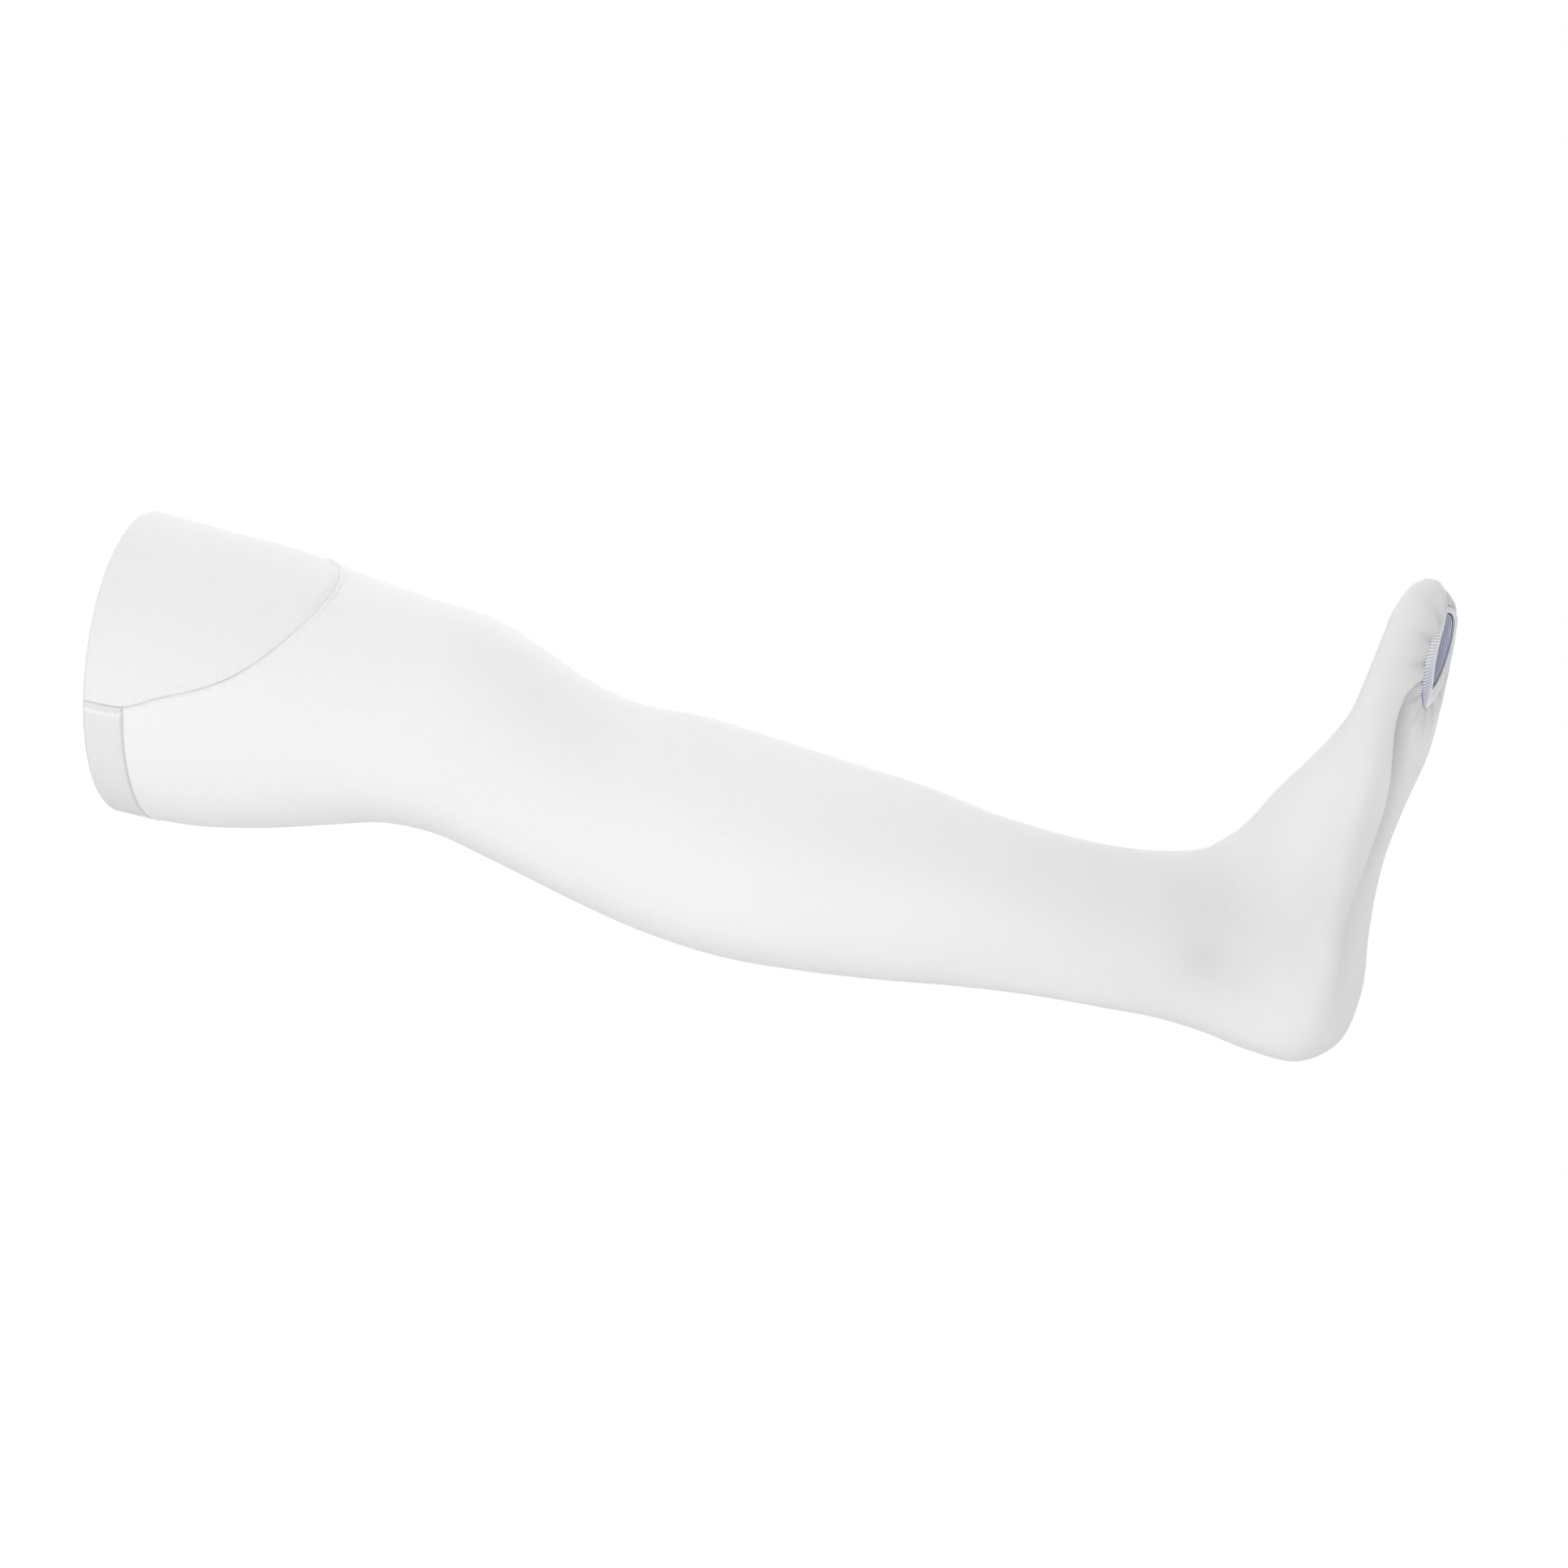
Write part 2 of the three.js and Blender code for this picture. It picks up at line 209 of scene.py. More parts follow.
# Stitches: the arch and the sink are in radii, and the lift is a share of the seam's ridge
STITCH_PITCH = 2.7
STITCH_LENGTH = 2.0
STITCH_RADIUS = 0.17
STITCH_ARCH = 2.6
STITCH_SINK = 1.4
STITCH_LIFT = 0.9
STITCH_BAND_GAP = 2
STITCH_END_ANGLE = 2
STITCH_SIDES = 6
STITCH_STEPS = 5

# Hem of the inspection opening
HEM_RIBS = 92
HEM_RIB_HEIGHT = 0.7
HEM_ROLL = 0.8
HEM_SWELL_POWER = 0.6
HEM_LIFT = 2
HEM_LIFT_BEARING = 1.1 * math.pi
HEM_BLUE_BEARING = 1.3 * math.pi
HEM_BLUE_LEAST = 0.45
HEM_BLUE_POWER = 6
FACING_INSET = 0.8
FACING_TOP = 0.5
FACING_DEPTH = 7
FACING_WALL = 0.9
FACING_STRIPE = 1.1
CORD_RADIUS = 0.6
CORD_ROUND = 0.86
CORD_STRAND = 0.14
CORD_MARGIN = 0.2
CORD_RISE = 0.1
CORD_TWISTS = 110
CORD_STEPS = 8
CORD_SIDES = 12

# Folds of the knit towards the hem, and the big toe's pad, which swells beside it
GATHER = 0.3
GATHER_INNER = 2.2
GATHER_INNER_POWER = 1.5
GATHER_BEARING = 1.05 * math.pi
GATHER_START = 1.5
GATHER_REACH = 19
GATHER_LEVEL = 650
GATHERS = 19
GATHER_SWAY = 1.3
GATHER_SWAYS = 3
GATHER_VALLEY_POWER = 4
GATHER_EVEN = 0.6
GATHER_UNEVEN = 0.4
GATHER_UNEVEN_WAVES = 7
GATHER_UNEVEN_PHASE = 1
PAD_RISE = 2.6
PAD_START = 1.2
PAD_REACH = 17
PAD_BEARING = 0.78 * math.pi
PAD_SPREAD = 0.14 * math.pi

# Knit: stitches round the leg, the height of a course along it, and linear colours of the yarn and between
KNIT_UV = "Knit"
MASK = "tint"
WALES = 330
COURSE = 0.95
GUSSET_WALES = 420
GUSSET_COURSE = 0.8
BAND_WALES = 260
BAND_COURSE = 1.1
KNIT_YARN = (0.781, 0.78, 0.781)
KNIT_GAP = (0.711, 0.71, 0.711)
GUSSET_YARN = (0.761, 0.76, 0.761)
GUSSET_GAP = (0.701, 0.7, 0.701)
BAND_YARN = (0.701, 0.7, 0.701)
BAND_GAP = (0.631, 0.63, 0.631)
TURNING_TINT = (0.741, 0.74, 0.741)
# Painted shade: the colour that the leg's knit darkens towards round the ankle, in the crease and at the hem
PAINTED_SHADE_TINT = (0.5, 0.5, 0.5)
HEM_WHITE = (0.84, 0.84, 0.82)
HEM_BLUE = (0.16, 0.17, 0.4)
FACING_DARK = (0.42, 0.45, 0.68)
FACING_LIGHT = (0.74, 0.74, 0.82)
THREAD_LIGHT = (0.86, 0.86, 0.85)
THREAD_DARK = (0.74, 0.74, 0.73)
KNIT_SLANT = 1.4
YARN_ROUND = 0.6

# Finishes: bumps have a height and a strength, and noises a scale per metre
KNIT_BUMP = (0.16, 0.5)
KNIT_NOISE = 9
KNIT_MOTTLE = 0.5
HEM_BUMP = (0.15, 0.5)
HEM_BUMP_NOISE = 1500
HEM_NOISE = 700
HEM_FLECK = 0.5
HEM_FLECK_LEAST = 0.75
FACING_BUMP = (0.2, 0.6)
FACING_NOISE = 120
FACING_WANDER = 1.2
THREAD_BUMP = (0.06, 0.5)
THREAD_NOISE = 2500
NOISE_DETAIL = 2
CLOTH_ROUGHNESS = 0.85
CLOTH_SHEEN = 0.1
THREAD_ROUGHNESS = 0.6
THREAD_SHEEN = 0.05
SPECULAR = 0.25
SHEEN_ROUGHNESS = 0.5

# Rings, columns and samples of the meshes. The columns stand close at a seam, and become even down the leg.
TONGUE_RINGS = 64
LEG_RINGS = 80
FOOT_RINGS = 142
LEG_COLUMNS = 156
EDGE_COLUMNS = (0, 0.25, 0.5, 0.8, 1.15, 1.6, 2.2, 3, 4.2, 6)
EDGE_SHARE = 0.3
EVEN_START = 120
EVEN_BLEND = 90
RING_GAP = 0.3
CAP_RINGS = 5
OPENING_RINGS = 8
OPENING_RING_POWER = 1.6
OPENING_SAMPLES = 200
PATCH_HEEL_MARGIN = 3
PATCH_TOE_MARGIN = 5
PATCH_SIDE_ANGLE = 6
GUSSET_RINGS = 90
GUSSET_COLUMNS = 96
BAND_RINGS = 22
BAND_COLUMNS = 260
HEM_STEPS = 8
HEM_RINGS = 14
FACING_SAMPLES = 240
FACING_SIDES = 24
FOOTPRINT_SAMPLES = 160
BAND_STITCH_SAMPLES = 400
SEAM_SAMPLES = 700
SEAM_FINE_SAMPLES = 4001
SEAM_SPREAD = 0.8
SEAM_NEAR = 25
SEAM_FAR = 1e3
CHUNK = 2000
STEP = 0.05
TINY = 1e-12

# First guesses and limits of the search for points of the sole
SOLE_GUESS_Z = (100, 150, 194)
SOLE_GUESS_DEPTH = (720, 763, 806)
SOLE_GUESS_ANGLE = 178.0
SOLE_LEAST_DEPTH = 700
SEARCH_STEPS = 14
SEARCH_DEPTH_MOST = 4
SEARCH_ANGLE_MOST = 8

# Camera, floor and light: the eye and the lens are in millimetres, and the other lengths in metres
CAMERA_EYE = (1520.11, -4169.79, 20.21)
CAMERA_AZIMUTH = 15.7
CAMERA_ROLL = 14.5
CAMERA_LENS = 200
CAMERA_SENSOR = 36
CAMERA_FAR = 100
MIDDLE = (0.33, 0, 0.02)
FLOOR_HEIGHT = -0.9
FLOOR_RADIUS = 1
FLOOR_SIDES = 96
FLOOR_COLOUR = (0.9, 0.9, 0.9)
FLOOR_ROUGHNESS = 0.9
AMBIENT = 0.36
LIGHTS = {
    # to the camera's right, up and towards the camera, distance, size, power
    "front_light": (-0.12, 0, 0.98, 2, 2.5, 33),
    "left_light": (-0.85, 0, 0.55, 1.7, 2, 9),
    "top_light": (0, 1, 0, 2.4, 3, 24),
    "right_light": (0.97, 0, -0.25, 2.4, 3, 39),
    "low_light": (0, -0.95, 0.3, 2.4, 3, 12),
    "back_light": (0, 0.75, -0.65, 2.4, 3, 47),
}


# The form of the worn stocking


def smooth_curve(at, knots, values):
    """A curve through the values, whose slope at a knot is the mean of the slopes on its two sides."""
    values = np.asarray(values, float)
    knots = np.asarray(knots, float)
    at = np.asarray(at, float)
    slopes = np.diff(values, axis=0) / np.diff(knots)[:, None]
    tangents = np.concatenate([slopes[:1], (slopes[:-1] + slopes[1:]) / 2, slopes[-1:]])
    i = np.clip(np.searchsorted(knots, at, side="right") - 1, 0, len(knots) - 2)
    span = (knots[i + 1] - knots[i])[:, None]
    p = np.clip((at - knots[i])[:, None] / span, 0, 1)
    start = (1 + 2 * p) * (1 - p) ** 2 * values[i] + p * (1 - p) ** 2 * span * tangents[i]
    end = p**2 * (3 - 2 * p) * values[i + 1] + p**2 * (p - 1) * span * tangents[i + 1]
    return start + end


def lengths_along(path):
    """Distances along a path, from its first point to each of its points."""
    return np.concatenate([[0], np.cumsum(np.linalg.norm(np.diff(path, axis=0), axis=1))])


SECTION_ROWS = np.array(list(SECTIONS.values()), float)
CENTRES = (SECTION_ROWS[:, 0:2] + SECTION_ROWS[:, 2:4]) / 2
STATIONS = lengths_along(CENTRES)
STATION_OF = dict(zip(SECTIONS, STATIONS))


def surface(depth, angle):
    """Points of the outside. The angle runs from the front over the inner side to the back and on.
    Past the last section the rings close on the toe's pole."""
    depth, angle = np.broadcast_arrays(np.asarray(depth, float), np.asarray(angle, float))
    shape = depth.shape
    a = np.radians(angle.ravel())
    s = dict(zip(COLUMNS, smooth_curve(depth.ravel(), STATIONS, SECTION_ROWS).T))
    front = np.stack([s["front_x"] - s["back_x"], 0 * a, s["front_z"] - s["back_z"]], -1)
    half_depth = np.linalg.norm(front, axis=1) / 2
    front = front / (2 * half_depth)[:, None]
    ahead = np.cross((0, 1, 0), front)
    turn = np.radians(-s["turn"])[:, None]
    inner = np.array((0, -1.0, 0)) * np.cos(turn) + np.cross(ahead, (0, -1.0, 0)) * np.sin(turn)
    top = np.cross(inner, ahead)
    box = (s["box_front"] + s["box_back"]) / 2 + (s["box_front"] - s["box_back"]) / 2 * np.cos(a)
    along = (np.cos(a) - box * np.cos(3 * a)) / (1 - box)
    across = (np.sin(a) + box * np.sin(3 * a)) / (1 - box) * (1 - s["lean"] * np.cos(a))
    aside = s["width"] / 2 * across + s["ridge"] * (1 + np.cos(a)) / 2
    offset = top * (half_depth * along)[:, None] + inner * aside[:, None]
    centre = np.stack([(s["front_x"] + s["back_x"]) / 2, s["shift"], (s["front_z"] + s["back_z"]) / 2], -1)
    point = centre + offset
    height = np.zeros(len(point))
    for x, y, z, down, wide, high in RELIEF.values():
        reach = ((point[:, 0] - x) / down) ** 2 + ((point[:, 1] - y) ** 2 + (point[:, 2] - z) ** 2) / wide**2
        height += high * np.exp(-reach)
    outward = offset / np.linalg.norm(offset, axis=1)[:, None]
    point = point + outward * height[:, None]
    close = np.clip((depth.ravel() - STATIONS[-1]) / TOE_CAP, 0, 1) * math.pi / 2
    closing = np.stack([1 - np.cos(close), 1 - np.cos(close), np.sin(close)], -1)
    return (point + (np.array(TOE_POLE) - point) * closing).reshape(*shape, 3)


def unit(vectors):
    return vectors / np.maximum(np.linalg.norm(vectors, axis=-1, keepdims=True), TINY)


def outward_at(depth, angle):
    """The directions out of the cloth."""
    down = surface(depth + STEP, angle) - surface(depth - STEP, angle)
    around = surface(depth, angle + STEP) - surface(depth, angle - STEP)
    return unit(np.cross(around, down))


def tongue_half(depth):
    """Half of the tongue's width as an angle, and nothing below its tip."""
    depth = np.asarray(depth, float)
    knots = [row[0] for row in TONGUE]
    halves = smooth_curve(depth.ravel(), knots, [row[1:] for row in TONGUE])[:, 0].reshape(depth.shape)
    return np.where(depth < TONGUE_TIP, np.maximum(halves, 0), 0)


def sole_at(y, z):
    """Depth and angle of the points of the sole at y and z, by Newton's method."""
    depth = np.interp(z, SOLE_GUESS_Z, SOLE_GUESS_DEPTH)
    angle = np.full(len(y), SOLE_GUESS_ANGLE)
    for _ in range(SEARCH_STEPS):
        point = surface(depth, angle)
        down = (surface(depth + STEP, angle) - surface(depth - STEP, angle)) / (2 * STEP)
        around = (surface(depth, angle + STEP) - surface(depth, angle - STEP)) / (2 * STEP)
        miss_y = y - point[:, 1]
        miss_z = z - point[:, 2]
        size = down[:, 1] * around[:, 2] - down[:, 2] * around[:, 1]
        deeper = (miss_y * around[:, 2] - miss_z * around[:, 1]) / size
        further = (miss_z * down[:, 1] - miss_y * down[:, 2]) / size
        depth = depth + np.clip(deeper, -SEARCH_DEPTH_MOST, SEARCH_DEPTH_MOST)
        angle = angle + np.clip(further, -SEARCH_ANGLE_MOST, SEARCH_ANGLE_MOST)
        depth = np.clip(depth, SOLE_LEAST_DEPTH, STATIONS[-1] - STEP)
    return depth, angle


def ellipse(shape, around, margin=0.0):
    """y and z of points of an ellipse, at angles round it."""
    y = shape["y"] + (shape["half_width"] + margin) * np.cos(around)
    z = shape["z"] + (shape["half_length"] + margin) * np.sin(around)
    return y, z


# Seams


def tongue_seam():
    """Depth, angle and distance along the seam, from one top end round the tongue's tip to the other."""
    t = np.linspace(-1, 1, SEAM_FINE_SAMPLES)
    depth = TONGUE_TIP * np.cos(t * math.pi / 2) ** SEAM_SPREAD
    angle = TONGUE_ANGLE - np.sign(t) * tongue_half(depth)
    length = lengths_along(surface(depth, angle))
    along = np.linspace(0, length[-1], SEAM_SAMPLES)
    return np.interp(along, length, depth), np.interp(along, length, angle), along


SEAM_DEPTH, SEAM_ANGLE, SEAM_ALONG = tongue_seam()
SEAM_POINTS = surface(SEAM_DEPTH, SEAM_ANGLE)
SEAM_TIP = SEAM_DEPTH.argmax()


def seam_distance(points, depth):
    """Distance of points from the tongue's seam, and where along the seam that is."""
    distance = np.full(len(points), SEAM_FAR)
    along = np.zeros(len(points))
    near = np.flatnonzero(depth < TONGUE_TIP + SEAM_NEAR)
    for part in np.array_split(near, max(1, len(near) // CHUNK)):
        apart = np.linalg.norm(points[part][:, None] - SEAM_POINTS[None], axis=2)
        nearest = apart.argmin(1)
        distance[part] = apart[np.arange(len(part)), nearest]
        along[part] = SEAM_ALONG[nearest]
    return distance, along


def rolled_edge(distance, roll=SEAM_ROLL, ridge=SEAM_RIDGE):
    """Height of a cloth's surface at a distance from the seam."""
    fall = -roll * np.exp(-((distance / SEAM_ROLL_REACH) ** 2))
    return fall + ridge * np.exp(-(((distance - SEAM_RIDGE_PLACE) / SEAM_RIDGE_REACH) ** 2))


def tip_share(along):
    """How much of the seam is its tip: 1 there, and 0 further than the tip's reach."""
    away = np.abs(along - SEAM_ALONG[SEAM_TIP]) / TIP_REACH
    return np.clip(TIP_FADE - TIP_FADE * away, 0, 1)


def tongue_roll(along):
    """Depth of the roll along the tongue's seam."""
    return SEAM_ROLL * (1 - (1 - TIP_SEAM) * tip_share(along))


def puckers(distance, along):
    """Small waves that the seam's stitches draw into the cloth."""
    sway = PUCKER_SWAY * np.sin(along / PUCKER_SWAY_LENGTH)
    wave = np.sin(2 * math.pi * along / PUCKER_PITCH + sway)
    rise = 1 - np.exp(-distance / PUCKER_START)
    return PUCKER * wave * np.exp(-((distance / PUCKER_REACH) ** 2)) * rise


# Meshes


class Cloth:
    """A sheet as quads over the surface. Each point has a depth and an angle, and each corner of a quad has
    an angle of its own for the knit. A quad with its last two points the same is a triangle."""

    def __init__(self):
        self.depth = np.zeros(0)
        self.angle = np.zeros(0)
        self.faces = np.zeros((0, 4), int)
        self.corner_angle = np.zeros((0, 4))
        self.pole = None

    def add_points(self, depth, angle):
        first = len(self.depth)
        self.depth = np.concatenate([self.depth, depth.ravel()])
        self.angle = np.concatenate([self.angle, angle.ravel()])
        return first + np.arange(depth.size).reshape(depth.shape)

    def add_faces(self, faces, corner_angle):
        self.faces = np.concatenate([self.faces, faces])
        self.corner_angle = np.concatenate([self.corner_angle, corner_angle])

    def points(self):
        """The points on the bare surface, and the directions out of it."""
        points = surface(self.depth, self.angle)
        outward = outward_at(self.depth, self.angle)
        if self.pole is not None:
            outward[self.pole] = (0, 0, 1)
        return points, outward


def grid_quads(grid):
    """Quads between neighbouring rows and columns, facing out of the cloth, of indexes or of values."""
    return np.stack([grid[:-1, :-1], grid[:-1, 1:], grid[1:, 1:], grid[1:, :-1]], -1).reshape(-1, 4)


def spread_columns(start, end, columns, blend):
    """Angles from start to end on each row: close together at both ends, and even where blend is 1."""
    edge = np.degrees(np.array(EDGE_COLUMNS) / THIGH_RADIUS)
    middle = np.linspace(0, 1, columns + 3 - 2 * len(edge))[1:-1]
    width = (end - start)[:, None]
    left = edge[None] * np.minimum(1, EDGE_SHARE * width / edge[-1])
    inside = left[:, -1:] + (width - 2 * left[:, -1:]) * middle[None]
    close = np.concatenate([left, inside, width - left[:, ::-1]], 1)
    even = width * np.linspace(0, 1, columns + 1)[None]
    return start[:, None] + close + (even - close) * blend[:, None]


def make_object(name, vertices, faces, material, uv=None, mask=None):
    """A mesh piece in the frame of the solids that rides on the part's one body."""
    faces = np.asarray(faces)
    is_triangle = faces[:, 2] == faces[:, 3]
    corners = np.ones(faces.shape, bool)
    corners[:, 3] = ~is_triangle
    mesh = bpy.data.meshes.new(name)
    polygons = [face[:3] if short else face for face, short in zip(faces.tolist(), is_triangle.tolist())]
    mesh.from_pydata((np.asarray(vertices) * MM).tolist(), [], polygons)
    if uv is not None:
        layer = mesh.uv_layers.new(name=KNIT_UV)
        layer.data.foreach_set("uv", np.asarray(uv, np.float32)[corners].ravel())
    if mask is not None:
        layer = mesh.attributes.new(MASK, "FLOAT", "POINT")
        layer.data.foreach_set("value", np.asarray(mask, np.float32))
    mesh.shade_smooth()
    mesh.materials.append(material)
    piece = bpy.data.objects.new(name, mesh)
    bpy.context.scene.collection.objects.link(piece)
    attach(piece, "root")
    return piece


def cloth_object(name, cloth, height, thickness, material, mask=None):
    """A closed wall of cloth: its outside, its inside and the strips that join them along the edges.
    The mask, if any, has a value for each point of the outside and then of the inside."""
    points, outward = cloth.points()
    outside = points + outward * height[:, None]
    inside = outside - outward * thickness
    count = len(outside)
    edges = np.concatenate([cloth.faces[:, [k, (k + 1) % 4]] for k in range(4)])
    angles = np.concatenate([cloth.corner_angle[:, [k, (k + 1) % 4]] for k in range(4)])
    keys = edges.min(1) * count + edges.max(1)
    _, first, uses = np.unique(keys, return_index=True, return_counts=True)
    rim = first[(uses == 1) & (edges[first, 0] != edges[first, 1])]
    a, b = edges[rim].T
    strips = np.stack([b, a, a + count, b + count], -1)
    turned = cloth.faces[:, [1, 0, 3, 2]]
    turned_angle = cloth.corner_angle[:, [1, 0, 3, 2]]
    faces = np.concatenate([cloth.faces, turned + count, strips])
    corner_angle = np.concatenate([cloth.corner_angle, turned_angle, angles[rim][:, [1, 0, 0, 1]]])
    depth = np.concatenate([cloth.depth, cloth.depth])
    uv = np.stack([corner_angle / 360, depth[faces] * MM], -1)
    used, faces = np.unique(faces, return_inverse=True)
    vertices = np.concatenate([outside, inside])[used]
    mask = None if mask is None else mask[used]
    return make_object(name, vertices, faces.reshape(-1, 4), material, uv, mask)


def tube(path, across, upward, radius, sides, closed):
    """Points and quads of a tube along a path, with filled ends where it isn't closed.
    The radius may be a number or one for each ring and side."""
    turn = np.linspace(0, 2 * math.pi, sides, endpoint=False)[None, :, None]
    radius = np.broadcast_to(radius, (len(path), sides))[..., None]
    around = across[:, None] * np.cos(turn) + upward[:, None] * np.sin(turn)
    points = (path[:, None] + around * radius).reshape(-1, 3)
    ring = np.arange(len(path) if closed else len(path) - 1)[:, None]
    side = np.arange(sides)[None]
    after = (ring + 1) % len(path)
    turned = (side + 1) % sides
    corners = [ring * sides + side, after * sides + side, after * sides + turned, ring * sides + turned]
    quads = np.stack(np.broadcast_arrays(*corners), -1).reshape(-1, 4)
    if not closed:
        fan = np.arange(1, sides - 1)
        start = np.stack([0 * fan, fan, fan + 1, fan + 1], -1)
        end = start[:, [0, 2, 1, 1]] + (len(path) - 1) * sides
        quads = np.concatenate([quads, start, end])
    return points, quads


# Pieces


def on_sole(points):
    """1 on the sole, falling to 0 on the sides of the foot."""
    return np.clip((points[:, 0] - SOLE_START) / SOLE_BLEND, 0, 1)


def from_hem(points):
    """Distances of points of the sole from the hem's outline, and their bearings from its middle."""
    y = (points[:, 1] - HEM["y"]) / HEM["half_width"]
    z = (points[:, 2] - HEM["z"]) / HEM["half_length"]
    away = (np.hypot(y, z) - 1) * (HEM["half_width"] + HEM["half_length"]) / 2
    return np.maximum(away, 0), np.arctan2(z, y)


def gather_valleys(bearing):
    """1 at the bottom of the narrow valleys between the folds at the hem, 0 on the folds."""
    sway = GATHER_SWAY * np.sin(GATHER_SWAYS * bearing)
    return (0.5 + 0.5 * np.cos(GATHERS * bearing + sway)) ** GATHER_VALLEY_POWER


def opening_relief(points):
    """Heights round the inspection opening: the knit rolls in at the hem and is gathered towards it."""
    away, bearing = from_hem(points)
    climb = away + np.maximum(0, GATHER_LEVEL - points[:, 0])
    wave = 1 - gather_valleys(bearing)
    inner_side = np.maximum(0, np.cos(bearing - GATHER_BEARING)) ** GATHER_INNER_POWER
    uneven = GATHER_EVEN + GATHER_UNEVEN * np.sin(GATHER_UNEVEN_WAVES * bearing + GATHER_UNEVEN_PHASE)
    gather = (GATHER + GATHER_INNER * inner_side * uneven) * wave
    gather *= np.exp(-((climb / GATHER_REACH) ** 2)) * (1 - np.exp(-away / GATHER_START))
    pad = PAD_RISE * np.exp(-(((np.mod(bearing, 2 * math.pi) - PAD_BEARING) / PAD_SPREAD) ** 2))
    pad *= np.exp(-((climb / PAD_REACH) ** 2)) * (1 - np.exp(-away / PAD_START))
    return gather + pad + on_sole(points) * rolled_edge(away, ridge=0)


def footprint_crease(points):
    """Heights along the edge of the part of the sole that bears weight."""
    rows = np.array(FOOTPRINT)
    length = lengths_along(rows[:, :2])
    line = smooth_curve(np.linspace(0, length[-1], FOOTPRINT_SAMPLES), length, rows)
    height = np.zeros(len(points))
    near = np.flatnonzero(on_sole(points) > 0)
    for part in np.array_split(near, max(1, len(near) // CHUNK)):
        apart = np.hypot(points[part, 1, None] - line[:, 0], points[part, 2, None] - line[:, 1])
        nearest = apart.argmin(1)
        is_inner = points[part, 1] < line[nearest, 0]
        reach = np.where(is_inner, FOOTPRINT_INNER_REACH, FOOTPRINT_OUTER_REACH)
        fall = np.exp(-((apart[np.arange(len(part)), nearest] / reach) ** 2))
        height[part] = -line[nearest, 2] * fall
    away, _ = from_hem(points)
    return height * on_sole(points) * np.clip(away / FOOTPRINT_HEM_REACH, 0, 1)


def painted_knit_shade(points, crease):
    """Shares, from 0 to 1, of painted shade round the ankle, along the sole's crease and round the hem's
    folds.
    """
    from_ankle = points - np.array(ANKLE_CENTRE)
    along_reach = np.where(from_ankle[:, 0] < 0, ANKLE_REACH_UP, ANKLE_REACH)
    aside = np.hypot(from_ankle[:, 1], from_ankle[:, 2]) / ANKLE_REACH
    ankle = ANKLE_SHADE * np.exp(-((from_ankle[:, 0] / along_reach) ** 2) - aside**2)
    ramp = np.clip((points[:, 2] - CREASE_SHADE_START) / CREASE_SHADE_RAMP, 0, 1)
    painted_crease = CREASE_SHADE * ramp * -crease / CREASE_DEEPEST
    away, bearing = from_hem(points)
    climb = away + np.maximum(0, GATHER_LEVEL - points[:, 0])
    valley_share = GATHER_SHADE_LEAST + (1 - GATHER_SHADE_LEAST) * gather_valleys(bearing)
    painted_gathers = GATHER_SHADE * valley_share * np.exp(-((climb / GATHER_SHADE_REACH) ** 2))
    return np.maximum(ankle, np.maximum(painted_crease, painted_gathers))


def patch_span(depths, angles):
    """First and last row and column of the leg's grid round the inspection opening."""
    bearing = np.linspace(0, 2 * math.pi, OPENING_SAMPLES, endpoint=False)
    hole_depth, hole_angle = sole_at(*ellipse(HEM, bearing, SEAM_CLEARANCE))
    first_row = np.searchsorted(depths, hole_depth.min() - PATCH_HEEL_MARGIN) - 1
    last_row = np.searchsorted(depths, hole_depth.max() + PATCH_TOE_MARGIN)
    first_column = np.searchsorted(angles[-1], hole_angle.min() - PATCH_SIDE_ANGLE) - 1
    last_column = np.searchsorted(angles[-1], hole_angle.max() + PATCH_SIDE_ANGLE)
    return first_row, last_row, first_column, last_column


def add_opening_rings(cloth, loop):
    """Adds rings from a closed loop of the cloth's points to the hem's outline."""
    _, bearing = from_hem(surface(cloth.depth[loop], cloth.angle[loop]))
    edge_depth, edge_angle = sole_at(*ellipse(HEM, bearing, SEAM_CLEARANCE))
    share = 1 - (1 - np.linspace(0, 1, OPENING_RINGS + 1)[1:, None]) ** OPENING_RING_POWER
    ring_depth = cloth.depth[loop] * (1 - share) + edge_depth * share
    ring_angle = cloth.angle[loop] * (1 - share) + edge_angle * share
    rings = np.concatenate([loop[None], cloth.add_points(ring_depth, ring_angle)])
    quads = grid_quads(np.concatenate([rings, rings[:, :1]], 1))
    cloth.add_faces(quads, cloth.angle[quads])


